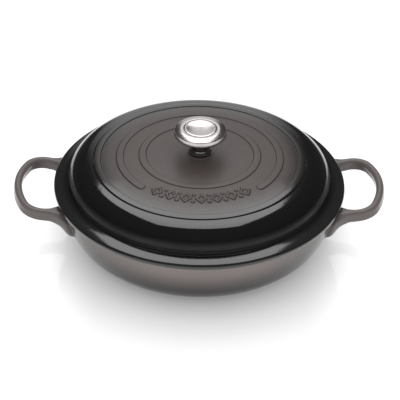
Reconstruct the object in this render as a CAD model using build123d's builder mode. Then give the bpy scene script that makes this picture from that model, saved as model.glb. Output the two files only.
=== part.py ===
from build123d import *
from math import asin, atan2, cos, degrees, radians, sin, sqrt
import os

# A lidded shallow casserole, or braiser, in enamelled cast iron.
# Millimetres, +Z up. The origin is the middle of the face that the pot stands on,
# and the two loop handles lie along X. The lid's ornament faces -Y.

# Pot: a bowl whose wall is part of a sphere, with a rounded corner down to the foot
pot_height = 63.0
bowl_radius = 155.0
bowl_centre_height = 93.0
foot_corner_radius = 40.0
wall_thickness = 4.5
floor_thickness = 5.0
floor_corner_radius = 36.0
foot_ring_width = 8.0
foot_recess_depth = 0.8
rim_edge_round = 1.2

# Handles: two loops cast in one with the pot, placed from its rim and its wall. Each arm
# leaves the wall level and curves up to the slant of the bar.
handle_projection = 45.1
handle_bar_width = 8.4
handle_bar_height = 12.8
handle_corner_round = 3.4
handle_top_below_rim = 0.9
handle_rise_angle = 8.0
handle_rise_length = 21.0
handle_bow_radius = 86.0
handle_bow_half_angle = 25.5
handle_bend_radius = 21.5
handle_toe_in_angle = 6.3
handle_flare_sink = 3.9
handle_arm_tail = 12.0
handle_flare_width = 36.0
handle_flare_height = 12.0
handle_flare_round = 7.5
handle_root_round = 5.0
arm_sections = 8

# Lid: a nearly flat top, a tight shoulder, an upright wall and a broad flange that slopes
# down to just past the pot's rim
lid_wall_height = 2.92
shoulder_tilt = 8.4
shoulder_change_tilt = 45.0
shoulder_radius = 25.0
haunch_radius = 18.0
lid_thickness = 4.5
fold_round = 3.0
flange_overhang = 2.93
flange_width = 15.9
flange_edge_height = 6.0
flange_rise = 2.6
flange_edge_round = 2.8
lip_clearance = 1.2
lip_depth = 3.0
lip_width = 5.0
lip_edge_round = 0.8
lip_corner_round = 4.0
lid_boss_radius = 13.0
lid_boss_rise = 0.5
under_boss_radius = 11.0
under_boss_depth = 1.0

# Raised figures on the lid: three rings, and a row of lozenges and beads. Their places are
# shares of the reach of the lid's nearly flat top.
figure_height = 0.9
figure_edge_round = 0.4
figure_sink = 1.0
inner_ring_share = 0.539
middle_ring_share = 0.739
outer_ring_share = 0.941
ring_width = 7.7
ring_gap_half_angle = 46.2
ornament_share = 0.672
ornament_half_angle = 34.0
lozenge_count = 7
lozenge_spacing = 2.4
lozenge_width = 15.5
lozenge_core_length = 6.0
lozenge_core_width = 7.5
lozenge_corner_round = 0.8
lozenge_draft = 18.0
bead_radius = 2.0
bead_offset = 5.2

# Knob: a hollow head of two pressed shells, welded to a turned stem
knob_radius = 27.8
knob_widest_height = 25.8
knob_top_height = 30.4
knob_dish_radius = 15.0
knob_dish_depth = 1.6
knob_ring_width = 6.6
knob_ring_drop = 0.4
knob_groove_width = 0.8
knob_groove_depth = 0.35
knob_shell_thickness = 1.2
knob_lip_depth = 2.6
knob_lip_draft = 0.2
skirt_sag = 1.4
stem_foot_radius = 11.8
stem_foot_height = 2.0
stem_neck_radius = 9.2
stem_collar_radius = 13.4
stem_collar_bottom = 11.8
stem_collar_height = 3.0
stem_spigot_radius = 7.0
thread_radius = 3.0
thread_clearance = 0.05
thread_depth = 14.0
thread_countersink = 0.6

# Fixing under the lid: flat washer, spring washer and screw
lid_hole_clearance = 0.5
washer_hole_clearance = 0.4
flat_washer_radius = 9.0
flat_washer_thickness = 1.2
spring_washer_radius = 5.6
spring_washer_thickness = 1.6
spring_washer_split = 1.0
spring_washer_split_angle = 25.0
screw_head_radius = 6.0
screw_head_height = 3.8
screw_head_round = 1.6
screw_tip_clearance = 1.5
screw_tip_chamfer = 0.5
cross_slot_length = 7.0
cross_slot_width = 1.3
cross_slot_depth = 2.0

# How far every cut runs past what it cuts
overrun = 5.0

os.makedirs("parts", exist_ok=True)


def from_centre(centre, radius, tilt):
    """The point of an arc at a tilt in degrees from straight up."""
    return (centre[0] + radius * sin(radians(tilt)), centre[1] + radius * cos(radians(tilt)))


def arc_about(centre, radius, start_tilt, end_tilt):
    """Draws the arc between two tilts and gives its end point."""
    tilts = (start_tilt, (start_tilt + end_tilt) / 2, end_tilt)
    points = [from_centre(centre, radius, tilt) for tilt in tilts]
    ThreePointArc(*points)
    return points[2]


def bowl_half_width(radius, height):
    """How far from the axis a bowl of this radius is at a height."""
    return sqrt(radius**2 - (height - bowl_centre_height) ** 2)


def bowl_profile(radius, corner, base, top):
    """Draws half of a bowl's section: its base, its rounded corner and its wall."""
    corner_height = base + corner
    corner_reach = sqrt((radius - corner) ** 2 - (corner_height - bowl_centre_height) ** 2)
    join_tilt = degrees(atan2(corner_reach, corner_height - bowl_centre_height))
    top_tilt = degrees(atan2(bowl_half_width(radius, top), top - bowl_centre_height))
    Line((0, base), (corner_reach, base))
    arc_about((corner_reach, corner_height), corner, 180, join_tilt)
    rim = arc_about((0, bowl_centre_height), radius, join_tilt, top_tilt)
    Polyline(rim, (0, top), (0, base))
    return corner_reach


def nearest(shapes, *places):
    """The vertices or edges that lie nearest the given places."""
    return [shapes.sort_by_distance(place)[0] for place in places]


# Handle: the middle line of the bar seen from above, from the bow round to one arm
rim_radius = bowl_half_width(bowl_radius, pot_height)
handle_top = pot_height - handle_top_below_rim
arm_middle_height = handle_top - handle_bar_height / 2
bar_middle_reach = rim_radius + handle_projection - handle_bar_width / 2
bend_turn = 90 + handle_toe_in_angle - handle_bow_half_angle
with BuildLine(Plane.XY.offset(arm_middle_height)) as bar_line:
    bow = JernArc((bar_middle_reach, 0), (0, 1), handle_bow_radius, handle_bow_half_angle)
    bend = JernArc(bow @ 1, bow % 1, handle_bend_radius, bend_turn)

# The arm runs on straight from the bend: as far as the wall's outside, a little more until
# its flare is full, and its tail goes on into what the cooking space cuts away
arm_start = bend @ 1
arm_heading = bend % 1
wall_reach = bowl_half_width(bowl_radius, arm_middle_height)
arm_nearing = -(arm_start.X * arm_heading.X + arm_start.Y * arm_heading.Y)
wall_lead = arm_start.X**2 + arm_start.Y**2 - wall_reach**2
flare_length = arm_nearing - sqrt(arm_nearing**2 - wall_lead) + handle_flare_sink
arm_length = flare_length + handle_arm_tail

# How high a curve of steady bend climbs while it turns from level to the bar's slant
rise_radius = handle_rise_length / radians(handle_rise_angle)
arm_rise = rise_radius * (1 - cos(radians(handle_rise_angle)))


def arm_section(share):
    """A section of the arm at a share of its length from the bend; it swells to the wall."""
    run = share * arm_length
    flare = min(run / flare_length, 1)
    width = handle_bar_width + handle_flare_width * flare**2
    height = handle_bar_height + handle_flare_height * flare**3
    corner = handle_corner_round + handle_flare_round * flare**2
    slant = handle_rise_angle * max(1 - run / handle_rise_length, 0)
    rise = rise_radius * (1 - cos(radians(slant)))
    place = arm_start + arm_heading * run
    slanted = Location((place.X, place.Y, handle_top + rise)) * Rot(Y=-slant)
    across = Plane(origin=(0, 0, -height / 2), x_dir=(0, 0, 1), z_dir=arm_heading)
    with BuildSketch(Plane(slanted * across.location)) as section:
        RectangleRounded(height, width, corner)
    return section.sketch


# Handle loop: a bar swept round the bow and bend and tipped up about the arms' starts, and
# an arm that swells into the wall
with BuildPart() as level_bar:
    with BuildSketch(Plane(origin=bow @ 0, x_dir=Vector(0, 0, 1), z_dir=bow % 0)):
        RectangleRounded(handle_bar_height, handle_bar_width, handle_corner_round)
    sweep(path=bar_line.wire())
tip_axis = Axis((arm_start.X, 0, handle_top), (0, 1, 0))
bar = level_bar.part.rotate(tip_axis, -handle_rise_angle).translate((0, 0, arm_rise))
with BuildPart() as loop:
    add(bar)
    loft([arm_section(i / arm_sections) for i in range(arm_sections + 1)])
    mirror(about=Plane.XZ)

# Pot: bowl and handles in one casting, with the cooking space cut out after they are joined
cavity_radius = bowl_radius - wall_thickness
mouth_radius = bowl_half_width(cavity_radius, pot_height)
with BuildPart() as pot:
    with BuildSketch(Plane.XZ) as bowl_section:
        with BuildLine():
            foot_radius = bowl_profile(bowl_radius, foot_corner_radius, 0, pot_height)
        make_face()
        fillet(nearest(bowl_section.vertices(), (rim_radius, pot_height)), rim_edge_round)
    revolve(axis=Axis.Z)
    add(loop.part)
    add(mirror(loop.part, about=Plane.YZ))
    root_edges = pot.faces().filter_by(GeomType.SPHERE)[0].edges().filter_by(GeomType.BSPLINE)
    fillet(root_edges, handle_root_round)
    with BuildSketch(Plane.XZ):
        with BuildLine():
            bowl_profile(cavity_radius, floor_corner_radius, floor_thickness, pot_height + overrun)
        make_face()
    revolve(axis=Axis.Z, mode=Mode.SUBTRACT)
    with BuildSketch(Plane.XY):
        Circle(foot_radius - foot_ring_width)
    extrude(amount=foot_recess_depth, mode=Mode.SUBTRACT)
    fillet(nearest(pot.edges(), (mouth_radius, 0, pot_height)), rim_edge_round)
pot.part.label = "pot"
export_step(pot.part, "parts/pot.step")

# Lid: the arcs of its upper side, each tangent to the one before. The top's radius is
# what brings the last arc out to the wall, and its height is what all of them rise.
flange_radius = rim_radius + flange_overhang
lid_wall_radius = flange_radius - flange_width
top_sine = sin(radians(shoulder_tilt))
top_cosine = cos(radians(shoulder_tilt))
change_sine = sin(radians(shoulder_change_tilt))
change_cosine = cos(radians(shoulder_change_tilt))
shoulder_reach = shoulder_radius * (change_sine - top_sine) + haunch_radius * (1 - change_sine)
top_reach = lid_wall_radius - shoulder_reach
lid_top_radius = top_reach / top_sine
seat_height = pot_height
flange_top = seat_height + flange_edge_height
fold_top = flange_top + flange_rise
shoulder_rise = shoulder_radius * (top_cosine - change_cosine) + haunch_radius * change_cosine
top_rise = lid_top_radius * (1 - top_cosine)
lid_top_height = fold_top + lid_wall_height + shoulder_rise + top_rise
top_centre = (0, lid_top_height - lid_top_radius)
shoulder_centre = from_centre(top_centre, lid_top_radius - shoulder_radius, shoulder_tilt)
haunch_centre = from_centre(shoulder_centre, shoulder_radius - haunch_radius, shoulder_change_tilt)
wall_inner = lid_wall_radius - lid_thickness
lip_outer = mouth_radius - lip_clearance
lip_inner = lip_outer - lip_width
lip_bottom = seat_height - lip_depth
lip_top = lip_bottom + lip_inner - wall_inner
boss_top = lid_top_height + lid_boss_rise
under_boss_bottom = lid_top_height - lid_thickness - under_boss_depth
lid_hole_radius = thread_radius + lid_hole_clearance


def lid_surface_height(radius):
    """Height of the lid's plain top at a distance from the axis."""
    return top_centre[1] + sqrt(lid_top_radius**2 - radius**2)


def lid_plane(radius, azimuth):
    """A plane that lies on the lid's top, with its x axis running down the slope."""
    lean = asin(radius / lid_top_radius)
    outward = Vector(cos(radians(azimuth)), sin(radians(azimuth)), 0)
    upward = Vector(0, 0, 1)
    origin = outward * radius + upward * lid_surface_height(radius)
    slope = outward * cos(lean) - upward * sin(lean)
    return Plane(origin=origin, x_dir=slope, z_dir=outward * sin(lean) + upward * cos(lean))


def ring_face(plane, start, end):
    """Section of a raised ring between two distances from its middle, rounded at its top."""
    with BuildSketch(Plane(origin=plane.origin, x_dir=plane.x_dir, z_dir=-plane.y_dir)) as section:
        with BuildLine():
            Polyline(
                (start, -figure_sink),
                (end, -figure_sink),
                (end, figure_height),
                (start, figure_height),
                close=True,
            )
        make_face()
        top_corners = section.vertices().group_by(Axis.Y)[-1]
        fillet(top_corners.filter_by(lambda corner: abs(corner.X) > figure_edge_round), figure_edge_round)
    return section.sketch


def lozenge_outline(length, width):
    """Draws a lozenge: its length along Y, which becomes the way round the ring."""
    Polyline((width / 2, 0), (0, length / 2), (-width / 2, 0), (0, -length / 2), close=True)


# The middle ring is open towards the ornament and has round ends
ring_half_width = ring_width / 2
ring_end = lid_plane(top_reach * middle_ring_share - ring_half_width, ring_gap_half_angle - 90)
with BuildPart() as ring_tip:
    tip_axis = Axis(ring_end.origin, -ring_end.z_dir)
    revolve(ring_face(ring_end, 0, ring_half_width), axis=tip_axis, revolution_arc=180)

with BuildPart() as open_ring:
    ring_sweep = 360 - 2 * ring_gap_half_angle
    revolve(ring_face(ring_end, -ring_half_width, ring_half_width), axis=Axis.Z, revolution_arc=ring_sweep)
    add(ring_tip.part)
    add(mirror(ring_tip.part, about=Plane.YZ))

# One lozenge of the ornament, with an open core, and the pair of beads beside it
ornament_radius = top_reach * ornament_share
gap_count = lozenge_count - 1
half_gap = ornament_half_angle / gap_count
lozenge_length = 2 * radians(half_gap) * ornament_radius - lozenge_spacing
ornament_plane = lid_plane(ornament_radius, 0).offset(-figure_sink)
square_to_lid = Axis(ornament_plane.origin, ornament_plane.z_dir)
with BuildPart() as lozenge:
    with BuildSketch(ornament_plane) as lozenge_plan:
        with BuildLine():
            lozenge_outline(lozenge_length, lozenge_width)
        make_face()
        fillet(lozenge_plan.vertices(), lozenge_corner_round)
        with BuildLine():
            lozenge_outline(lozenge_core_length, lozenge_core_width)
        make_face(mode=Mode.SUBTRACT)
    extrude(amount=figure_sink + figure_height, taper=lozenge_draft)

with BuildPart() as beads:
    with BuildSketch(ornament_plane):
        with Locations((bead_offset, 0), (-bead_offset, 0)):
            Circle(bead_radius)
    extrude(amount=figure_sink + figure_height)
    fillet(beads.faces().sort_by(square_to_lid)[-2:].edges(), figure_edge_round)

# Lid
with BuildPart() as lid:
    with BuildSketch(Plane.XZ) as lid_section:
        with BuildLine():
            arc_about(top_centre, lid_top_radius, 0, shoulder_tilt)
            arc_about(shoulder_centre, shoulder_radius, shoulder_tilt, shoulder_change_tilt)
            wall_start = arc_about(haunch_centre, haunch_radius, shoulder_change_tilt, 90)
            Polyline(
                wall_start,
                (lid_wall_radius, fold_top),
                (flange_radius, flange_top),
                (flange_radius, seat_height),
                (lip_outer, seat_height),
                (lip_outer, lip_bottom),
                (lip_inner, lip_bottom),
                (wall_inner, lip_top),
                (wall_inner, wall_start[1]),
            )
            arc_about(haunch_centre, haunch_radius - lid_thickness, 90, shoulder_change_tilt)
            inner_shoulder = shoulder_radius - lid_thickness
            arc_about(shoulder_centre, inner_shoulder, shoulder_change_tilt, shoulder_tilt)
            arc_about(top_centre, lid_top_radius - lid_thickness, shoulder_tilt, 0)
            Line((0, lid_top_height - lid_thickness), (0, lid_top_height))
        make_face()
        corners = lid_section.vertices()
        fillet(nearest(corners, (lid_wall_radius, fold_top)), fold_round)
        fillet(nearest(corners, (flange_radius, flange_top), (flange_radius, seat_height)), flange_edge_round)
        fillet(nearest(corners, (lip_outer, lip_bottom), (lip_inner, lip_bottom)), lip_edge_round)
        fillet(nearest(corners, (wall_inner, lip_top)), lip_corner_round)
        for ring_share in (outer_ring_share, inner_ring_share):
            ring_plane = lid_plane(top_reach * ring_share - ring_half_width, 0)
            add(ring_face(ring_plane, -ring_half_width, ring_half_width))
    revolve(axis=Axis.Z)
    add(open_ring.part)
    ornament_start = -90 - ornament_half_angle
    ornament_sweep = 2 * ornament_half_angle
    with PolarLocations(0, lozenge_count, ornament_start, ornament_sweep, endpoint=True):
        add(lozenge.part)
    gap_sweep = ornament_sweep - 2 * half_gap
    with PolarLocations(0, gap_count, ornament_start + half_gap, gap_sweep, endpoint=True):
        add(beads.part)
    with BuildSketch(Plane.XY.offset(under_boss_bottom)):
        Circle(under_boss_radius)
    extrude(amount=lid_top_height - under_boss_bottom)
    with BuildSketch(Plane.XY.offset(boss_top)):
        Circle(lid_boss_radius)
    extrude(amount=-lid_thickness)
    with BuildSketch(Plane.XY.offset(boss_top)):
        Circle(lid_hole_radius)
    extrude(amount=-(boss_top - under_boss_bottom), mode=Mode.SUBTRACT)
lid.part.label = "lid"
export_step(lid.part, "parts/lid.step")

# Knob: heights are measured from the lid's boss
knob_widest = boss_top + knob_widest_height
knob_top = boss_top + knob_top_height
knob_seam = knob_widest - knob_lip_depth
ring_outer = knob_dish_radius + knob_ring_width
dish_bottom = knob_top - knob_dish_depth
crown_pad = dish_bottom - knob_shell_thickness
seam_outer = knob_radius - knob_lip_draft
seam_inner = seam_outer - knob_shell_thickness
collar_bottom = boss_top + stem_collar_bottom
collar_top = collar_bottom + stem_collar_height

# Knob crown: the upper shell, with its dish and its rounded edge
dish_sphere = (knob_dish_radius**2 + knob_dish_depth**2) / (2 * knob_dish_depth)
dish_tilt = degrees(asin(knob_dish_radius / dish_sphere))
edge_width = knob_radius - ring_outer
edge_rise = knob_top - knob_ring_drop - knob_widest
with BuildPart() as knob_crown:
    with BuildSketch(Plane.XZ):
        with BuildLine():
            arc_about((0, dish_bottom + dish_sphere), dish_sphere, 180, 180 - dish_tilt)
            Line((knob_dish_radius, knob_top), (ring_outer, knob_top - knob_ring_drop))
            edge_centre = (ring_outer, knob_widest)
            EllipticalCenterArc(edge_centre, edge_width, edge_rise, start_angle=0, arc_size=90)
            Polyline(
                (knob_radius, knob_widest),
                (seam_outer, knob_seam),
                (seam_inner, knob_seam),
                (knob_radius - knob_shell_thickness, knob_widest),
            )
            inner_width = edge_width - knob_shell_thickness
            inner_rise = edge_rise - knob_shell_thickness
            EllipticalCenterArc(edge_centre, inner_width, inner_rise, start_angle=0, arc_size=90)
            Polyline(
                (ring_outer, knob_widest + inner_rise),
                (knob_dish_radius, knob_top - knob_shell_thickness),
                (stem_spigot_radius, crown_pad),
                (0, crown_pad),
                (0, dish_bottom),
            )
        make_face()
    revolve(axis=Axis.Z)
    with BuildSketch(Plane.XY.offset(knob_top)):
        groove_middle = knob_dish_radius + knob_ring_width / 2
        Circle(groove_middle + knob_groove_width / 2)
        Circle(groove_middle - knob_groove_width / 2, mode=Mode.SUBTRACT)
    extrude(amount=-(knob_ring_drop / 2 + knob_groove_depth), mode=Mode.SUBTRACT)
knob_crown.part.label = "knob_crown"
export_step(knob_crown.part, "parts/knob_crown.step")

# Knob skirt: the lower shell, from the stem's collar out to the seam
with BuildPart() as knob_skirt:
    with BuildSketch(Plane.XZ):
        with BuildLine():
            middle_reach = (stem_collar_radius + seam_outer) / 2
            middle_height = (collar_top + knob_seam) / 2 - skirt_sag
            inner_foot = (stem_collar_radius, collar_top + knob_shell_thickness)
            inner_middle = (middle_reach - knob_shell_thickness / 2, middle_height + knob_shell_thickness)
            outer_middle = (middle_reach, middle_height)
            ThreePointArc((stem_collar_radius, collar_top), outer_middle, (seam_outer, knob_seam))
            Line((seam_outer, knob_seam), (seam_inner, knob_seam))
            ThreePointArc((seam_inner, knob_seam), inner_middle, inner_foot)
            hole_radius = stem_spigot_radius + thread_clearance
            Polyline(
                inner_foot,
                (hole_radius, collar_top + knob_shell_thickness),
                (hole_radius, collar_top),
                (stem_collar_radius, collar_top),
            )
        make_face()
    revolve(axis=Axis.Z)
knob_skirt.part.label = "knob_skirt"
export_step(knob_skirt.part, "parts/knob_skirt.step")

# Knob stem: turned, with a foot on the lid, a waist, a collar and a tapped hole
with BuildPart() as knob_stem:
    with BuildSketch(Plane.XZ):
        with BuildLine():
            foot_top = boss_top + stem_foot_height
            waist_height = (foot_top + collar_bottom) / 2
            Polyline((0, boss_top), (stem_foot_radius, boss_top), (stem_foot_radius, foot_top))
            ThreePointArc(
                (stem_foot_radius, foot_top),
                (stem_neck_radius, waist_height),
                (stem_collar_radius, collar_bottom),
            )
            Polyline(
                (stem_collar_radius, collar_bottom),
                (stem_collar_radius, collar_top),
                (stem_spigot_radius, collar_top),
                (stem_spigot_radius, crown_pad),
                (0, crown_pad),
                (0, boss_top),
            )
        make_face()
    revolve(axis=Axis.Z)
    with BuildSketch(Plane.XY.offset(boss_top)):
        Circle(thread_radius + thread_clearance)
    extrude(amount=thread_depth, mode=Mode.SUBTRACT)
    bore_mouth = knob_stem.edges().filter_by(GeomType.CIRCLE).group_by(Axis.Z)[0].sort_by(SortBy.RADIUS)[0]
    chamfer(bore_mouth, thread_countersink)
knob_stem.part.label = "knob_stem"
export_step(knob_stem.part, "parts/knob_stem.step")

# Flat washer, seated on the boss under the lid
washer_hole_radius = thread_radius + washer_hole_clearance
flat_washer_bottom = under_boss_bottom - flat_washer_thickness
with BuildPart() as flat_washer:
    with BuildSketch(Plane.XY.offset(flat_washer_bottom)):
        Circle(flat_washer_radius)
        Circle(washer_hole_radius, mode=Mode.SUBTRACT)
    extrude(amount=flat_washer_thickness)
flat_washer.part.label = "flat_washer"
export_step(flat_washer.part, "parts/flat_washer.step")

# Spring washer: a split ring, drawn flat under the screw's head
spring_washer_bottom = flat_washer_bottom - spring_washer_thickness
with BuildPart() as spring_washer:
    with BuildSketch(Plane.XY.offset(spring_washer_bottom)):
        Circle(spring_washer_radius)
        Circle(washer_hole_radius, mode=Mode.SUBTRACT)
    extrude(amount=spring_washer_thickness)
    split_middle = Vector(0, spring_washer_radius, spring_washer_bottom + spring_washer_thickness / 2)
    split_plane = Plane(origin=split_middle, x_dir=Vector(0, 1, 0), z_dir=Vector(1, 0, 0))
    with BuildSketch(split_plane.rotated((spring_washer_split_angle, 0, 0))):
        Rectangle(spring_washer_radius + overrun, spring_washer_thickness + overrun)
    extrude(amount=spring_washer_split / 2, both=True, mode=Mode.SUBTRACT)
spring_washer.part.label = "spring_washer"
export_step(spring_washer.part, "parts/spring_washer.step")

# Screw: pan head with a cross slot, up through the lid into the stem
screw_tip = boss_top + thread_depth - screw_tip_clearance
screw_head_bottom = spring_washer_bottom - screw_head_height
with BuildPart() as knob_screw:
    with BuildSketch(Plane.XY.offset(screw_head_bottom)):
        Circle(screw_head_radius)
    extrude(amount=screw_head_height)
    fillet(knob_screw.edges().group_by(Axis.Z)[0], screw_head_round)
    with BuildSketch(Plane.XY.offset(spring_washer_bottom)):
        Circle(thread_radius)
    extrude(amount=screw_tip - spring_washer_bottom)
    chamfer(knob_screw.edges().group_by(Axis.Z)[-1], screw_tip_chamfer)
    with BuildSketch(Plane.XY.offset(screw_head_bottom)):
        with PolarLocations(0, 2, 0, 180):
            Rectangle(cross_slot_length, cross_slot_width)
    extrude(amount=cross_slot_depth, mode=Mode.SUBTRACT)
knob_screw.part.label = "knob_screw"
export_step(knob_screw.part, "parts/knob_screw.step")

for piece in (pot, lid, knob_crown, knob_skirt, knob_stem, flat_washer, spring_washer, knob_screw):
    size = piece.part.bounding_box().size
    print(piece.part.label, len(piece.solids()), round(piece.part.volume, 1), size)
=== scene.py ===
# %% [markdown]
# # A shallow cast-iron casserole with a domed lid
# This notebook dresses the CAD model of a braiser: a wide pot with two loop handles, a lid
# with raised rings and a row of lozenges, and a steel knob. The CAD pieces arrive in metres,
# each with its place in its own mesh, so everything made here uses the same frame: +Z up,
# the handles along X, and the ornament towards -Y.

# %% Load the frame
import math
import bmesh
import bpy
from mathutils import Matrix, Vector


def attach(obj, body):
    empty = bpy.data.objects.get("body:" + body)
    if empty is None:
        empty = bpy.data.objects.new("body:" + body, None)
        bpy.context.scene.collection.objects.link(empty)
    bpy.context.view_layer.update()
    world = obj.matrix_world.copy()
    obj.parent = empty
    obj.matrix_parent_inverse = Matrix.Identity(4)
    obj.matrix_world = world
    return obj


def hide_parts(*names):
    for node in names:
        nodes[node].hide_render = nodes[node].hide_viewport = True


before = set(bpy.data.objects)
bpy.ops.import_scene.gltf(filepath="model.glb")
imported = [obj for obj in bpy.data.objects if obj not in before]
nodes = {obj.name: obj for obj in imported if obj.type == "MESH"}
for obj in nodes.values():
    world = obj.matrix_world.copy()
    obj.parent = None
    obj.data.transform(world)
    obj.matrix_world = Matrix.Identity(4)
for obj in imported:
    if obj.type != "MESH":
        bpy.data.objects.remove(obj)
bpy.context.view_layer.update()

print("CAD pieces:", sorted(nodes))

# %% [markdown]
# ## The camera
# The photograph was taken with a long lens from a little over 34 degrees above the table,
# almost square to the handles. A long lens keeps the ellipses of the rim and the rings
# nearly parallel. The camera stands on a sphere round a point inside the pot, aims a hair
# beside that point, and leans by a degree, as the photographer's did.

# %% Camera
CAMERA_ELEVATION = math.radians(34.447)
CAMERA_TURN = math.radians(1.6)
CAMERA_ROLL = math.radians(1.15)
CAMERA_DISTANCE = 1.8193
CAMERA_MIDDLE = Vector((0, 0, 0.040))
AIM_RIGHT, AIM_UP = 0.001034, 0.00222
LENS, SENSOR_WIDTH = 151.98, 36


def make_camera():
    """The camera at the photograph's place, with the object's middle near the image's."""
    level = math.cos(CAMERA_ELEVATION)
    back = Vector((-level * math.sin(CAMERA_TURN), -level * math.cos(CAMERA_TURN), math.sin(CAMERA_ELEVATION)))
    place = CAMERA_MIDDLE + back * CAMERA_DISTANCE
    right = Vector((math.cos(CAMERA_TURN), -math.sin(CAMERA_TURN), 0))
    up = right.cross(-back)
    aim = CAMERA_MIDDLE + right * AIM_RIGHT + up * AIM_UP
    data = bpy.data.cameras.new("camera")
    data.lens = LENS
    data.sensor_width = SENSOR_WIDTH
    data.clip_start, data.clip_end = 0.05, 50
    camera = bpy.data.objects.new("camera", data)
    bpy.context.scene.collection.objects.link(camera)
    turn = (aim - place).to_track_quat("-Z", "Y").to_matrix().to_4x4()
    camera.matrix_world = Matrix.Translation(place) @ turn @ Matrix.Rotation(CAMERA_ROLL, 4, "Z")
    bpy.context.scene.camera = camera
    return camera


camera = make_camera()
print("camera at", [round(value, 3) for value in camera.matrix_world.translation])

# %% [markdown]
# ## Wires
# Every material and every shape rule below is a short expression. One small class wraps a
# node's output, so that Python's own operators add Math nodes, and any other node comes
# from `node`, which sets the node's options first and then fills in its inputs.

# %% The wire class
class Wire:
    """A node's output that Python's operators can work with."""

    def __init__(self, tree, out=None):
        self.tree, self.out = tree, out

    def node(self, kind, options=None, inputs=None, out=0):
        """Adds a node: its options, then the values or links of its inputs."""
        made = self.tree.nodes.new(kind)
        for name, value in (options or {}).items():
            setattr(made, name, value)
        for name, value in (inputs or {}).items():
            if isinstance(value, Wire):
                self.tree.links.new(value.out, made.inputs[name])
            else:
                made.inputs[name].default_value = value
        return Wire(self.tree, made.outputs[out])

    def math(self, operation, *values):
        """A Math node on wires and numbers."""
        return self.node("ShaderNodeMath", {"operation": operation}, dict(enumerate(values)))

    def __add__(self, other):
        return self.math("ADD", self, other)

    def __radd__(self, other):
        return self.math("ADD", other, self)

    def __sub__(self, other):
        return self.math("SUBTRACT", self, other)

    def __rsub__(self, other):
        return self.math("SUBTRACT", other, self)

    def __mul__(self, other):
        return self.math("MULTIPLY", self, other)

    def __rmul__(self, other):
        return self.math("MULTIPLY", other, self)

    def __truediv__(self, other):
        return self.math("DIVIDE", self, other)

    def __neg__(self):
        return self.math("MULTIPLY", self, -1)

    def __abs__(self):
        return self.math("ABSOLUTE", self)

    def ease(self, low, high):
        """0 below low, 1 above high, and a smooth change in between."""
        inputs = {0: self, 1: low, 2: high, 3: 0, 4: 1}
        return self.node("ShaderNodeMapRange", {"interpolation_type": "SMOOTHSTEP"}, inputs)

    def fall(self, low, high):
        """1 below low, 0 above high: the other way round from ease."""
        inputs = {0: self, 1: low, 2: high, 3: 1, 4: 0}
        return self.node("ShaderNodeMapRange", {"interpolation_type": "SMOOTHSTEP"}, inputs)

    def between(self, low, high):
        """Turns 0 to 1 into low to high."""
        return low + self * (high - low)

    def blend(self, first, second):
        """The colour first where this wire is 0, and second where it is 1."""
        return self.node("ShaderNodeMix", {"data_type": "RGBA"}, {0: self, 6: first, 7: second}, 2)

    def parts(self):
        """The X, Y and Z wires of a vector."""
        split = self.node("ShaderNodeSeparateXYZ", None, {0: self})
        return [Wire(self.tree, out) for out in split.out.node.outputs]


print("operators ready on", Wire.__name__)

# %% Two rules on wires
def larger(first, second):
    """The larger of a wire and a wire or number, at every point."""
    return first.math("MAXIMUM", first, second)


def distance(x, y):
    """The length of the way (x, y)."""
    square = x * x + y * y
    return square.math("SQRT", square)


print("rules:", larger.__name__, distance.__name__)

# %% [markdown]
# ## Materials
# Every material starts as one Principled shader. A value that is the same all over is set
# on the shader's own socket, and what changes over the surface is led in by a wire.

# %% Material helpers
def new_material(name, **constants):
    """A material with one Principled shader, whose fixed values are set on its own sockets."""
    material = bpy.data.materials.new(name)
    material.use_nodes = True
    shader = material.node_tree.nodes["Principled BSDF"]
    for label, value in constants.items():
        shader.inputs[label.replace("_", " ")].default_value = value
    return material, Wire(material.node_tree), shader


def plug(wire, shader, label):
    """Leads a wire into one of the shader's inputs."""
    wire.tree.links.new(wire.out, shader.inputs[label])


def dress(name, material):
    """Gives a carried-over CAD piece its finish."""
    mesh = nodes[name].data
    mesh.materials.clear()
    mesh.materials.append(material)
    print(name, "is", material.name, "on", len(mesh.polygons), "triangles")


print("CAD pieces to dress:", len(nodes))

# %% [markdown]
# ## The stage
# The photograph is a plain studio shot: a white table that runs up to a white background,
# and a soft box overhead. The table is a wide sheet with a little gloss, so that it keeps
# the pot's soft shadow and a faint mirror image. What the camera and shiny surfaces see of
# the table is lifted a little, which takes it to plain white without lighting the pot. The
# lift is a painted glow, weaker near the pot's foot and stronger away from it and beside the
# handles, so it paints the pot's shadow darker in front and narrower at the sides.

# %% Floor
FLOOR_HALF = 0.9
FLOOR_WHITE = (0.86, 0.86, 0.86, 1)
FLOOR_LIFT = 0.38


def make_floor():
    """A wide sheet at the height that the pot stands on."""
    half = FLOOR_HALF
    mesh = bpy.data.meshes.new("floor")
    corners = [(-half, -half, 0), (half, -half, 0), (half, half, 0), (-half, half, 0)]
    mesh.from_pydata(corners, [], [(0, 1, 2, 3)])
    floor = bpy.data.objects.new("floor", mesh)
    bpy.context.scene.collection.objects.link(floor)
    return floor


def floor_finish():
    """A glossy white sheet that is lifted for the camera and for reflections only."""
    material, tree, shader = new_material("studio_floor", Roughness=0.05, IOR=1.9,
                                          Base_Color=FLOOR_WHITE, Emission_Strength=FLOOR_LIFT)
    seen = tree.node("ShaderNodeLightPath", out="Is Camera Ray")
    mirrored = tree.node("ShaderNodeLightPath", out="Is Glossy Ray")
    x, y, _ = tree.node("ShaderNodeTexCoord", out="Object").parts()
    # Painted glow: weak near the pot's foot, stronger further out and beside the handles, which paints the
    # shadow's shape.
    painted_glow_off_foot = distance(x, y).ease(0.11, 0.17).between(0.24, 0.66)
    beside = abs(x).ease(0.10, 0.17) * 0.34
    plug((seen + mirrored) * (painted_glow_off_foot + beside), shader, "Emission Color")
    return material


floor = make_floor()
floor.data.materials.append(floor_finish())
print("floor:", floor.name)

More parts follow.
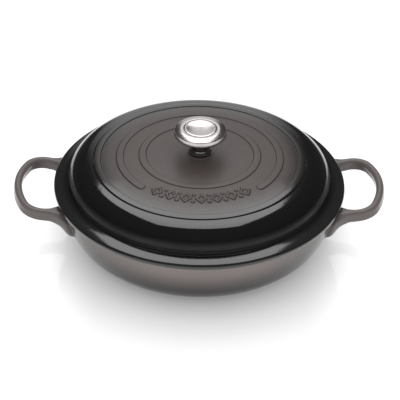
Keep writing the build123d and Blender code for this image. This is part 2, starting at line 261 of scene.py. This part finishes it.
# %% [markdown]
# ## The studio's light
# Glossy enamel shows its surroundings, so the world is a plain studio written as a rule on
# direction: a narrow white background behind the pot, a low white apron behind the camera,
# and a dim room everywhere else. The camera itself sees plain white, and matte surfaces get
# one even level from all sides, as in a white tent. A soft box hangs above and behind the
# pot, and gives the lid its broad highlight. Two wide lamps, overhead and in front, fill
# the shadows and show in no reflection.

# %% World
BACKDROP_LEVEL = 0.85
APRON_LEVEL = 1.0
AMBIENT_LEVEL = 0.80


def make_world():
    """The studio as levels of white, by direction and by the kind of ray."""
    world = bpy.data.worlds.new("studio")
    bpy.context.scene.world = world
    world.use_nodes = True
    world.node_tree.nodes.clear()
    air = Wire(world.node_tree)
    east, north, above = air.node("ShaderNodeTexCoord", out="Generated").parts()
    aside = abs(east) / larger(north, 0.001)
    backdrop = aside.fall(0.10, 0.28) * above.fall(0.58, 0.68) * above.ease(0.0, 0.5).between(0.75, 1.0)
    apron = (-north).ease(0.45, 0.75) * above.fall(0.06, 0.18)
    room = above.ease(0.3, 1.0).between(0.06, 0.10)
    studio = larger(larger(backdrop * BACKDROP_LEVEL, apron * APRON_LEVEL), room)
    to_camera = air.node("ShaderNodeLightPath", out="Is Camera Ray")
    to_matte = air.node("ShaderNodeLightPath", out="Is Diffuse Ray")
    level = to_camera + to_matte * AMBIENT_LEVEL + (1 - to_camera - to_matte) * studio
    background = air.node("ShaderNodeBackground", None, {"Color": (1, 1, 1, 1), "Strength": level})
    end = world.node_tree.nodes.new("ShaderNodeOutputWorld")
    world.node_tree.links.new(background.out, end.inputs["Surface"])
    return world


world = make_world()
print("world nodes:", len(world.node_tree.nodes))

# %% Lamps
LAMP_TARGET = Vector((0, 0, 0.08))


def soft_lamp(name, place, size, power, shows):
    """A rectangular lamp that faces the middle of the lid, and may show in reflections."""
    data = bpy.data.lights.new(name, "AREA")
    data.shape = "RECTANGLE"
    data.size, data.size_y = size
    data.energy = power
    lamp = bpy.data.objects.new(name, data)
    bpy.context.scene.collection.objects.link(lamp)
    lamp.location = place
    lamp.rotation_mode = "QUATERNION"
    lamp.rotation_quaternion = (LAMP_TARGET - Vector(place)).to_track_quat("-Z", "Y")
    lamp.visible_glossy = shows
    print("lamp", name, place, "power", power)


soft_lamp("softbox", (0, 1.25, 2.17), (1.25, 1.65), 14, shows=True)
soft_lamp("overhead_fill", (0, 0.3, 2.4), (1.8, 1.8), 3, shows=False)
soft_lamp("front_fill", (0, -2.4, 1.1), (1.6, 1.0), 18, shows=False)

# %% [markdown]
# ## Enamel
# Vitreous enamel is coloured glass melted onto the iron. It is very glossy, with a faint
# ripple like the skin of an orange, tiny specks where grains of the glaze differ, and small
# changes in gloss. All of that comes from noise at true scale on Object coordinates, so it
# stays on the piece in any view. The same recipe serves three finishes, which differ in
# colour and gloss: the warm grey outside, the pale sand inside, and the matte black edge.

# %% Enamel recipe
SAND = (0.56, 0.49, 0.39, 1)
EDGE_BLACK = (0.014, 0.013, 0.013, 1)


def noise(tree, place, scale, detail=2.0):
    """Smooth noise with features about 1 / scale metres wide."""
    return tree.node("ShaderNodeTexNoise", None, {"Vector": place, "Scale": scale, "Detail": detail})


def brighten(colour, amount):
    """The colour times an amount that varies about 1."""
    options = {"operation": "SCALE"}
    return colour.node("ShaderNodeVectorMath", options, {0: colour, "Scale": amount})


def glaze(tree, shader, place, colour, gloss, ripple=1.0):
    """Gives a shader enamel's specks, gloss and ripple on top of a colour wire and a gloss wire."""
    specks = noise(tree, place, 1400, 1).ease(0.56, 0.72)
    clouds = noise(tree, place, 28, 3)
    amount = clouds.between(0.93, 1.07) + specks * 0.16
    plug(brighten(colour, amount), shader, "Base Color")
    plug(gloss * noise(tree, place, 60, 2).between(0.8, 1.2), shader, "Roughness")
    skin = noise(tree, place, 210, 1) + noise(tree, place, 620, 1) * 0.3
    bump = tree.node("ShaderNodeBump", None, {"Strength": 0.06 * ripple, "Distance": 0.0006, "Height": skin})
    plug(bump, shader, "Normal")


print("inside and edge colours:", SAND[:3], EDGE_BLACK[:3])

# %% [markdown]
# ## The pot
# The pot is one casting, and its CAD mesh already has the right shape, so it stays and gets
# its finish by position. Inside the bowl the surface faces the middle of the bowl's sphere,
# and outside it faces away, which is the mask between sand and grey. The top of the wall,
# where the lid rests, has the matte black coat that guards the bare edge, and the ring that
# the pot stands on is worn a little. The grey darkens towards the bottom, partly the glaze's
# own fade and partly painted shade where the low wall faces its own shadow. It is painted
# lighter under the rim at the front and darker towards the back, which is painted light and
# shade from the front.

# %% Pot colours and places
BOWL_MIDDLE_HEIGHT = 0.093
BOWL_INSIDE = (0.1525, 0.1530)
BOWL_OUTSIDE = (0.1552, 0.1556)
WALL_TO_HANDLE = (0.1556, 0.1640)
SEAT_HEIGHT = (0.0617, 0.0621)
SEAT_RADIUS = (0.1474, 0.1479)
# The front and back greys are painted light and shade, lighter where a lamp in front would fall. The low grey is
# partly the glaze's own fade and partly painted shade.
POT_PAINTED_FRONT_LIGHT = (0.215, 0.182, 0.174, 1)
POT_PAINTED_BACK_SHADE = (0.048, 0.041, 0.039, 1)
POT_LOW_FADE_AND_SHADE = (0.020, 0.017, 0.016, 1)
HANDLE_GREY = (0.125, 0.108, 0.104, 1)
FOOT_WORN = (0.028, 0.026, 0.025, 1)
print("pot greys:", POT_PAINTED_FRONT_LIGHT[:3], POT_PAINTED_BACK_SHADE[:3], POT_LOW_FADE_AND_SHADE[:3])

# %% Pot enamel
def pot_enamel():
    """Sand inside, grey outside with a fade and painted light and shade, matte black on the seat and wear on the
    foot.
    """
    material, tree, shader = new_material("pot_enamel", IOR=1.42, Coat_Weight=0.15,
                                          Coat_Roughness=0.04, Coat_IOR=1.5)
    place = tree.node("ShaderNodeTexCoord", out="Object")
    x, y, z = place.parts()
    facing_x, facing_y, facing_z = tree.node("ShaderNodeNewGeometry", out="Normal").parts()
    lift = z - BOWL_MIDDLE_HEIGHT
    facing_in = -(x * facing_x + y * facing_y + lift * facing_z)
    out = distance(x, y)
    from_middle = distance(out, lift)
    inside = facing_in.ease(-0.004, 0.004) * from_middle.fall(*BOWL_INSIDE)
    seat = z.ease(*SEAT_HEIGHT) * out.ease(*SEAT_RADIUS) * from_middle.fall(*BOWL_OUTSIDE)
    foot = z.fall(0.0006, 0.0016)
    # Painted light: the grey is painted lighter at the front and darker towards the back and sides.
    painted_front_light = (-y).ease(0.08, 0.15).blend(POT_PAINTED_BACK_SHADE, POT_PAINTED_FRONT_LIGHT)
    # Darker towards the bottom: partly the glaze's own fade, partly painted shade.
    wall = z.ease(0.020, 0.061).blend(POT_LOW_FADE_AND_SHADE, painted_front_light)
    grey = from_middle.ease(*WALL_TO_HANDLE).blend(wall, HANDLE_GREY)
    coated = inside.blend(foot.blend(grey, FOOT_WORN), SAND)
    colour = seat.blend(coated, EDGE_BLACK)
    gloss = inside.between(0.10, 0.16) + larger(seat, foot) * 0.42
    glaze(tree, shader, place, colour, gloss)
    return material


dress("pot", pot_enamel())

# %% [markdown]
# ## The lid's section
# A lid like this is turned in the pattern shop, so its shape is one section spun about the
# axis. The section is a list of (distance, height, side) points in millimetres. It goes
# from the screw hole out over the top, the shoulder, the fold and the flange, round the
# edge, in along the seat and the lip, and back under the dome. Where an edge of a ring or
# of a lozenge will rise, the points stand close together.

# %% Sizes of the lid
MM = 0.001
OUTER, SEAT, INNER = 0, 1, 2
TOP_RADIUS, TOP_TILT, CHANGE_TILT = 820.09, 8.4, 45.0
SHOULDER_RADIUS, HAUNCH_RADIUS, THICKNESS = 25.0, 18.0, 4.5
TOP_HEIGHT = 103.1
RING_WIDTH = 7.7
INNER_RING, MIDDLE_RING, OUTER_RING = 60.72, 84.68, 108.88
ORNAMENT_RADIUS = 80.5
print("ring radii:", INNER_RING, MIDDLE_RING, OUTER_RING)

# %% Section helpers
def tilted(centre, radius, tilt):
    """The point of an arc at a tilt in degrees from straight up."""
    angle = math.radians(tilt)
    return (centre[0] + radius * math.sin(angle), centre[1] + radius * math.cos(angle))


TOP_CENTRE = (0.0, TOP_HEIGHT - TOP_RADIUS)
SHOULDER_CENTRE = tilted(TOP_CENTRE, TOP_RADIUS - SHOULDER_RADIUS, TOP_TILT)
HAUNCH_CENTRE = tilted(SHOULDER_CENTRE, SHOULDER_RADIUS - HAUNCH_RADIUS, CHANGE_TILT)


def top_height(distance_out, radius=TOP_RADIUS):
    """Height of the plain top at a distance from the axis."""
    return TOP_CENTRE[1] + math.sqrt(radius**2 - distance_out**2)


def rounded(before, corner, after, radius, side, steps=5):
    """The points that round one corner of the section."""
    before, corner, after = Vector(before), Vector(corner), Vector(after)
    back, on = (before - corner).normalized(), (after - corner).normalized()
    half = back.angle(on) / 2
    centre = corner + (back + on).normalized() * radius / math.sin(half)
    start = corner + back * radius / math.tan(half) - centre
    end = corner + on * radius / math.tan(half) - centre
    arc = [centre + start.slerp(end, i / steps).normalized() * radius for i in range(steps + 1)]
    return [(point.x, point.y, side) for point in arc]


def sampled(centre, radius, start, end, count, side):
    """Points along an arc between two tilts."""
    tilts = [start + (end - start) * i / count for i in range(count + 1)]
    return [(*tilted(centre, radius, tilt), side) for tilt in tilts]


print("shoulder about", [round(value, 2) for value in SHOULDER_CENTRE])

# %% Where the top gets its vertices
def top_stations():
    """Distances from the axis at which the top gets a line of vertices."""
    near_edge = (-0.9, -0.5, -0.25, 0.0, 0.25, 0.5, 0.9)
    stations = set()
    for middle in (INNER_RING, MIDDLE_RING, OUTER_RING):
        for edge in (middle - RING_WIDTH / 2, middle + RING_WIDTH / 2):
            stations.update(round(edge + step, 2) for step in near_edge)
    stations.update(round(72.0 + 0.42 * i, 2) for i in range(41))
    stations.update(round(16.0 + 5.0 * i, 2) for i in range(21))
    ordered = []
    for station in sorted(stations):
        if not ordered or station - ordered[-1] > 0.2:
            ordered.append(station)
    return ordered


print("lines of vertices on the top:", len(top_stations()))

# %% Section of the lid
def lid_outside():
    """From the screw hole out over the pad, the top, the wall and the flange to its edge."""
    hole, boss_foot = (3.5, 103.6), (3.5, 97.6)
    pad, pad_foot = (13.0, 103.6), (13.0, 103.0)
    wall_top, fold = (139.1, HAUNCH_CENTRE[1]), (139.1, 71.6)
    flange, flange_foot, seat_end = (155.0, 69.0), (155.0, 63.0), (146.28, 63.0)
    on_slope = Vector(fold).lerp(Vector(flange), 0.5)
    section = rounded(boss_foot, hole, pad, 0.3, OUTER, 2)
    section += rounded(hole, pad, pad_foot, 0.3, OUTER, 3)
    section += [(13.0, 103.1, OUTER), (13.4, top_height(13.4), OUTER)]
    section += [(station, top_height(station), OUTER) for station in top_stations()]
    section += sampled(SHOULDER_CENTRE, SHOULDER_RADIUS, TOP_TILT, CHANGE_TILT, 12, OUTER)
    section += sampled(HAUNCH_CENTRE, HAUNCH_RADIUS, CHANGE_TILT, 90, 12, OUTER)[1:]
    section += rounded(wall_top, fold, flange, 3.0, OUTER, 10)
    section += [(on_slope.x, on_slope.y, OUTER)]
    section += rounded(fold, flange, flange_foot, 2.8, OUTER, 8)
    section += rounded(flange, flange_foot, seat_end, 2.8, OUTER, 8)
    return section


def lid_inside():
    """From the flange's edge in along the seat and the lip, and under the dome to the boss."""
    flange_foot, seat_end = (155.0, 63.0), (146.28, 63.0)
    lip_out, lip_in, lip_up = (146.28, 60.0), (141.28, 60.0), (134.6, 66.68)
    inner_wall_top = (134.6, HAUNCH_CENTRE[1])
    under = top_height(11.0, TOP_RADIUS - THICKNESS)
    hole, boss_foot, boss_corner, boss_root = (3.5, 103.6), (3.5, 97.6), (11.0, 97.6), (11.0, under)
    section = rounded(flange_foot, seat_end, lip_out, 0.3, SEAT, 2)
    section += rounded(seat_end, lip_out, lip_in, 0.8, SEAT, 4)
    section += rounded(lip_out, lip_in, lip_up, 0.8, SEAT, 4)
    section += rounded(lip_in, lip_up, inner_wall_top, 4.0, INNER, 6)
    section += sampled(HAUNCH_CENTRE, HAUNCH_RADIUS - THICKNESS, 90, CHANGE_TILT, 8, INNER)
    section += sampled(SHOULDER_CENTRE, SHOULDER_RADIUS - THICKNESS, CHANGE_TILT, TOP_TILT, 8, INNER)[1:]
    for station in (108, 96, 84, 72, 60, 48, 36, 24, 14):
        section.append((station, top_height(station, TOP_RADIUS - THICKNESS), INNER))
    section += rounded((14.0, under), boss_root, boss_corner, 0.3, INNER, 2)
    section += rounded(boss_root, boss_corner, boss_foot, 0.3, INNER, 2)
    section += rounded(boss_corner, boss_foot, hole, 0.3, INNER, 2)
    return section


section = lid_outside() + lid_inside()
print("points in the lid's section:", len(section))

# %% [markdown]
# ## Spinning the section
# The lid is spun by hand rather than with a modifier, because its slices aren't all one
# width: they are narrow across the ornament and at the open ring's ends, and wide where the
# lid is plain. Each face remembers which side of the lid it is on, so that the Geometry
# Nodes tree can give each side its own enamel.

# %% Spin
def slice_angles():
    """Angles in degrees from the ornament's middle, closer together where there is detail."""
    marks = [(0.0, 0.34), (36.6, 0.9), (42.3, 0.32), (46.9, 1.6), (180.0, 1.6)]
    half = [0.0]
    for (start, step), (end, _) in zip(marks, marks[1:]):
        count = round((end - start) / step)
        half += [start + (end - start) * (i + 1) / count for i in range(count)]
    return [-angle for angle in reversed(half[1:-1])] + half


def close_up(mesh):
    """Merges the points that meet on the axis, and turns every face outwards."""
    tidy = bmesh.new()
    tidy.from_mesh(mesh)
    bmesh.ops.remove_doubles(tidy, verts=tidy.verts, dist=1e-7)
    bmesh.ops.recalc_face_normals(tidy, faces=tidy.faces)
    tidy.to_mesh(mesh)
    tidy.free()


def spin(name, section, angles):
    """A closed shell from a section that closes on itself."""
    mesh = bpy.data.meshes.new(name)
    rows, turns = len(section), len(angles)
    points = []
    for angle in angles:
        across, forward = math.sin(math.radians(angle)), -math.cos(math.radians(angle))
        points += [(r * MM * across, r * MM * forward, z * MM) for r, z, _ in section]
    faces, sides = [], []
    for i in range(turns):
        here, there = i * rows, (i + 1) % turns * rows
        for j in range(rows):
            k = (j + 1) % rows
            faces.append((here + j, here + k, there + k, there + j))
            sides.append(min(section[j][2], section[k][2]))
    mesh.from_pydata(points, [], faces)
    stored = mesh.attributes.new("side", "INT", "FACE")
    stored.data.foreach_set("value", sides)
    close_up(mesh)
    mesh.polygons.foreach_set("use_smooth", [True] * len(mesh.polygons))
    made = bpy.data.objects.new(name, mesh)
    bpy.context.scene.collection.objects.link(made)
    return made


lid_shell = spin("lid_casting", section, slice_angles())
print("lid shell:", len(lid_shell.data.polygons), "faces")

# %% [markdown]
# ## Lid enamel
# Seen from above, the lid goes from warm grey in the middle to almost black at its edge. The
# sprayed glaze changes about the outer ring, and the near-black flange is painted a shade
# lighter again, a painted reflection of the white background. The grey in the middle is satin,
# and the dark edge glossy, but for the fold at the wall's foot, where the thick glaze stays
# dull. The figures' rims are painted a touch darker, which is painted shade along their edges.

# %% Lid finishes
LID_GREY = (0.080, 0.064, 0.060, 1)
LID_DARK = (0.004, 0.0038, 0.0037, 1)
# The flange's near black is painted a shade lighter than the edge's, as a painted reflection of the background.
FLANGE_DARK_PAINTED_SHEEN = (0.013, 0.0125, 0.0121, 1)


def lid_enamel():
    """Satin grey in the middle, glossy near black outside, with painted shade on the figures' edges."""
    material, tree, shader = new_material("lid_enamel", IOR=1.5, Coat_Weight=0.7,
                                          Coat_Roughness=0.09, Coat_IOR=1.5)
    place = tree.node("ShaderNodeTexCoord", out="Object")
    x, y, _ = place.parts()
    out = distance(x, y)
    drift = (noise(tree, place, 24, 2) - 0.5) * 0.004
    dark = (out + drift).ease(0.0800, 0.1190)
    edge = tree.node("ShaderNodeAttribute", {"attribute_name": "edge"}, out="Fac")
    fold = out.ease(0.1340, 0.1375) * out.fall(0.1395, 0.1425)
    # Painted shade: the enamel is darkened, and its coat thinned, on the edges that the tree marks.
    painted_edge_shade = 1 - edge * 0.5
    # Painted reflection: the flange is painted a shade lighter than the dark edge.
    colour = out.ease(0.1400, 0.1480).blend(dark.blend(LID_GREY, LID_DARK), FLANGE_DARK_PAINTED_SHEEN)
    plug(dark.between(0.04, 0.75) * painted_edge_shade * (1 - fold), shader, "Coat Weight")
    glaze(tree, shader, place, brighten(colour, painted_edge_shade), dark.between(0.42, 0.08) + fold * 0.35)
    return material


def sand_enamel():
    """The pale glaze under the dome."""
    material, tree, shader = new_material("lid_inside_enamel", IOR=1.5)
    place = tree.node("ShaderNodeTexCoord", out="Object")
    colour = noise(tree, place, 300, 2).blend(SAND, (0.52, 0.45, 0.35, 1))
    glaze(tree, shader, place, colour, noise(tree, place, 90, 1).between(0.14, 0.2))
    return material


def edge_enamel():
    """The matte black coat on the seat and the lip."""
    material, tree, shader = new_material("lid_seat_enamel", IOR=1.45)
    place = tree.node("ShaderNodeTexCoord", out="Object")
    colour = noise(tree, place, 700, 2).blend(EDGE_BLACK, (0.024, 0.022, 0.021, 1))
    glaze(tree, shader, place, colour, noise(tree, place, 400, 1).between(0.45, 0.6), ripple=3.0)
    return material


lid_finishes = [lid_enamel(), edge_enamel(), sand_enamel()]
print("lid finishes:", [finish.name for finish in lid_finishes])

# %% [markdown]
# ## Raising the figures
# The rings, the lozenges and the beads follow a rule: each point of the top knows its
# distance from the axis and its angle from the ornament's middle, and from those it knows
# how far inside a figure it is. A Geometry Nodes tree turns that into a height with soft
# shoulders, as glaze gives a cast edge. The sizes are inputs of the tree, so a change to
# the ornament is one number. The tree also leaves an attribute that is 1 on each edge, and
# the enamel reads it to paint shade along the edges.

# %% Sizes of the figures
LOZENGES_EACH_WAY = 3
FIGURES = {
    "Height": 0.9 * MM,
    "Ring width": RING_WIDTH * MM,
    "Inner ring": INNER_RING * MM,
    "Middle ring": MIDDLE_RING * MM,
    "Outer ring": OUTER_RING * MM,
    "Ring gap half angle": math.radians(46.2),
    "Ornament radius": ORNAMENT_RADIUS * MM,
    "Lozenge pitch": math.radians(68.0 / 6),
    "Lozenge length": 13.5 * MM,
    "Lozenge width": 15.5 * MM,
    "Core length": 6.0 * MM,
    "Core width": 7.5 * MM,
    "Bead radius": 2.0 * MM,
    "Bead offset": 5.2 * MM,
}
print("inputs of the figures' tree:", len(FIGURES))

# %% Rules of the figures
def plateau(inside, soft=0.0009):
    """1 well inside a figure, 0 outside it, from the distance inside its edge."""
    return inside.ease(-0.5 * soft, 0.7 * soft)


def rings(given, out, angle):
    """Two whole rings, and a middle one that is open over the ornament, with round ends."""
    half_ring = given["Ring width"] * 0.5
    whole = larger(
        plateau(half_ring - abs(out - given["Inner ring"])),
        plateau(half_ring - abs(out - given["Outer ring"])),
    )
    past_end = larger(given["Ring gap half angle"] - abs(angle), 0)
    middle = given["Middle ring"]
    return larger(whole, plateau(half_ring - distance(out - middle, past_end * middle)))


def diamond(along, across, length, width):
    """Distance inside a lozenge of this length and width."""
    half_length, half_width = length * 0.5, width * 0.5
    share = abs(along) / half_length + abs(across) / half_width
    return (1 - share) * (half_length * half_width / distance(half_length, half_width))


def ornament(given, out, angle):
    """A row of open lozenges, with a pair of beads in each gap between two of them."""
    across = out - given["Ornament radius"]
    turns = angle / given["Lozenge pitch"]
    first, last = -LOZENGES_EACH_WAY, LOZENGES_EACH_WAY
    nearest = turns.math("MINIMUM", larger(turns.math("ROUND", turns), first), last)
    along = (turns - nearest) * given["Lozenge pitch"] * given["Ornament radius"]
    frame_inside = diamond(along, across, given["Lozenge length"], given["Lozenge width"])
    core_outside = -diamond(along, across, given["Core length"], given["Core width"])
    lozenges = plateau(frame_inside.math("MINIMUM", frame_inside, core_outside))
    gap = turns.math("FLOOR", turns) + 0.5
    bead_along = (turns - gap) * given["Lozenge pitch"] * given["Ornament radius"]
    bead_inside = given["Bead radius"] - distance(bead_along, abs(across) - given["Bead offset"])
    beads = plateau(bead_inside) * abs(turns).fall(last - 0.02, last)
    return larger(lozenges, beads)


print("figures:", rings.__name__, ornament.__name__)

# %% Tree that raises the figures
def figure_tree():
    """The Geometry Nodes tree: it marks the edges, raises the figures and sets the finishes."""
    tree = bpy.data.node_groups.new("raise_figures", "GeometryNodeTree")
    face = tree.interface
    face.new_socket("Geometry", in_out="OUTPUT", socket_type="NodeSocketGeometry")
    face.new_socket("Geometry", in_out="INPUT", socket_type="NodeSocketGeometry")
    for name in FIGURES:
        face.new_socket(name, in_out="INPUT", socket_type="NodeSocketFloat")
    start = tree.nodes.new("NodeGroupInput")
    given = {out.name: Wire(tree, out) for out in start.outputs if out.name}
    root = Wire(tree)
    x, y, z = root.node("GeometryNodeInputPosition").parts()
    out = distance(x, y)
    angle = root.math("ARCTAN2", x, -y)
    share = larger(rings(given, out, angle), ornament(given, out, angle))

    plain_top = (TOP_RADIUS * MM) ** 2 - out * out
    above_top = z - (TOP_CENTRE[1] * MM + plain_top.math("SQRT", plain_top))
    on_top = above_top.ease(-0.002, -0.001) * out.fall(0.1180, 0.1195)
    rise = root.node("ShaderNodeCombineXYZ", None, {"Z": share * given["Height"] * on_top})
    # The edge mark, which the lid's enamel turns into painted shade.
    slope = share * (1 - share) * 4 * on_top
    inputs = {"Geometry": given["Geometry"], "Name": "edge", "Value": slope}
    marked = root.node("GeometryNodeStoreNamedAttribute", {"data_type": "FLOAT", "domain": "POINT"}, inputs)
    raised = root.node("GeometryNodeSetPosition", None, {"Geometry": marked, "Offset": rise})
    side = root.node("GeometryNodeInputNamedAttribute", {"data_type": "INT"}, {"Name": "side"})
    joined = root.node("GeometryNodeRealizeInstances", None, {"Geometry": raised})
    for number, finish in enumerate(lid_finishes):
        options = {"data_type": "INT", "operation": "EQUAL"}
        chosen = root.node("FunctionNodeCompare", options, {"A": side, "B": number})
        inputs = {"Geometry": joined, "Selection": chosen, "Material": finish}
        joined = root.node("GeometryNodeSetMaterial", None, inputs)
    end = tree.nodes.new("NodeGroupOutput")
    tree.links.new(joined.out, end.inputs["Geometry"])
    return tree


raise_figures = figure_tree()
print("nodes in the tree:", len(raise_figures.nodes))

# %% Raise the figures and keep a plain mesh
def settle(piece, tree, values):
    """Runs a Geometry Nodes tree on a piece with named values, and keeps its result as a mesh."""
    modifier = piece.modifiers.new(tree.name, "NODES")
    modifier.node_group = tree
    for item in tree.interface.items_tree:
        if item.in_out == "INPUT" and item.name in values:
            modifier[item.identifier] = values[item.name]
    ready = piece.evaluated_get(bpy.context.evaluated_depsgraph_get())
    made = bpy.data.meshes.new_from_object(ready)
    piece.modifiers.remove(modifier)
    piece.data = made


settle(lid_shell, raise_figures, FIGURES)
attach(lid_shell, "lid")
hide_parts("lid")
print("lid:", len(lid_shell.data.polygons), "faces,", len(lid_shell.data.materials), "finishes")

# %% [markdown]
# ## Knob and fixings
# The knob's head is two pressed shells of stainless steel, turned and polished with fine
# abrasive while they spin. That leaves circular scratches, which stretch each highlight
# into a fan, so the steel is anisotropic about the knob's axis. Fine rings in the bump and
# in the gloss, at the distance from the axis, carry the same lathe marks.

# %% Steel
def turned_steel(name, colour, gloss, stretch, marks):
    """Steel with lathe marks, this many to the metre, and a few smudges."""
    material, tree, shader = new_material(name, Metallic=1.0, Anisotropic=stretch)
    place = tree.node("ShaderNodeTexCoord", out="Object")
    x, y, z = place.parts()
    rings_at = tree.node("ShaderNodeCombineXYZ", None, {"X": distance(x, y) * marks, "Y": z * marks})
    scratch = noise(tree, rings_at, 1.0, 3)
    smudge = noise(tree, place, 70, 2)
    plain = smudge.blend(colour, colour)
    plug(brighten(plain, scratch.between(0.92, 1.06)), shader, "Base Color")
    plug((scratch * 0.5 + smudge * 0.5).between(gloss * 0.7, gloss * 1.3), shader, "Roughness")
    bump = tree.node("ShaderNodeBump", None, {"Strength": 0.05, "Distance": 0.0002, "Height": scratch})
    plug(bump, shader, "Normal")
    return material


satin = turned_steel("knob_satin_steel", (0.66, 0.63, 0.62, 1), 0.19, 0.5, 2600)
# The skirt and stem's steel is painted darker than the head's, as painted shade under the knob's head.
polished_painted_shade = turned_steel("knob_polished_steel_painted_shade", (0.30, 0.285, 0.28, 1), 0.17, 0.3, 1800)
fixing = turned_steel("fixing_steel", (0.62, 0.61, 0.60, 1), 0.28, 0.0, 900)
for name in ("knob_skirt", "knob_stem"):
    dress(name, polished_painted_shade)
for name in ("flat_washer", "spring_washer", "knob_screw"):
    dress(name, fixing)

# %% [markdown]
# ## The knob's crown
# Seen close, the crown has four zones: a hollow in the middle, a flat ring with a fine
# groove, a gently sloping band that catches the soft box, and a lip that leans out a
# little and mirrors the table. Small rounds join them, which the CAD section leaves to this
# finer one. It keeps the CAD crown's outer sizes, and its inside.

# %% Crown
DISH_RADIUS, DISH_CENTRE_HEIGHT = 71.1, 203.5
BAND_RADIUS, BAND_TILTS = 32.0, (10, 22)
EDGE_ROUND, LIP_TILT = 0.6, 80
CROWN_SLICES = 144


def crown_section():
    """The crown's outside from the middle out, and then its inside back to the axis."""
    dish_end, ring_in, ring_out = (12.5, 133.5), (15.0, 134.0), (20.3, 133.68)
    groove = [(16.9, 133.88), (17.0, 133.83), (17.15, 133.5), (17.6, 133.48), (17.75, 133.78), (17.85, 133.82)]
    lip_top, lip_foot, lip_inside = (27.3, 129.2), (27.78, 126.85), (26.4, 126.8)
    inside = [(26.5, 129.4), (25.6, 131.1), (21.6, 132.3), (15.0, 132.7), (7.0, 131.2), (0.0, 131.2)]
    section = [(2.5 * i, DISH_CENTRE_HEIGHT - math.sqrt(DISH_RADIUS**2 - (2.5 * i) ** 2), OUTER) for i in range(6)]
    section += rounded(dish_end, ring_in, ring_out, 0.3, OUTER, 4)
    section += [(*point, OUTER) for point in groove + [(20.0, 133.69)]]
    band_centre = tilted(ring_out, BAND_RADIUS, 180 + BAND_TILTS[0])
    section += sampled(band_centre, BAND_RADIUS, *BAND_TILTS, 8, OUTER)
    round_centre = tilted(section[-1], EDGE_ROUND, 180 + BAND_TILTS[1])
    section += sampled(round_centre, EDGE_ROUND, BAND_TILTS[1], LIP_TILT, 6, OUTER)[1:]
    section += [(*lip_top, OUTER)]
    section += rounded(lip_top, lip_foot, lip_inside, 0.2, OUTER, 3)
    section += [(*lip_inside, OUTER)] + [(*point, INNER) for point in inside]
    return section


crown = spin("knob_crown_finish", crown_section(), [360 / CROWN_SLICES * i for i in range(CROWN_SLICES)])
crown.data.materials.append(satin)
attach(crown, "lid")
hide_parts("knob_crown")
print("crown:", len(crown.data.polygons), "faces")

# %% [markdown]
# ## Closing
# The view transform is Standard, so that a colour renders as it is written.

# %% Close
bpy.context.scene.view_settings.view_transform = "Standard"
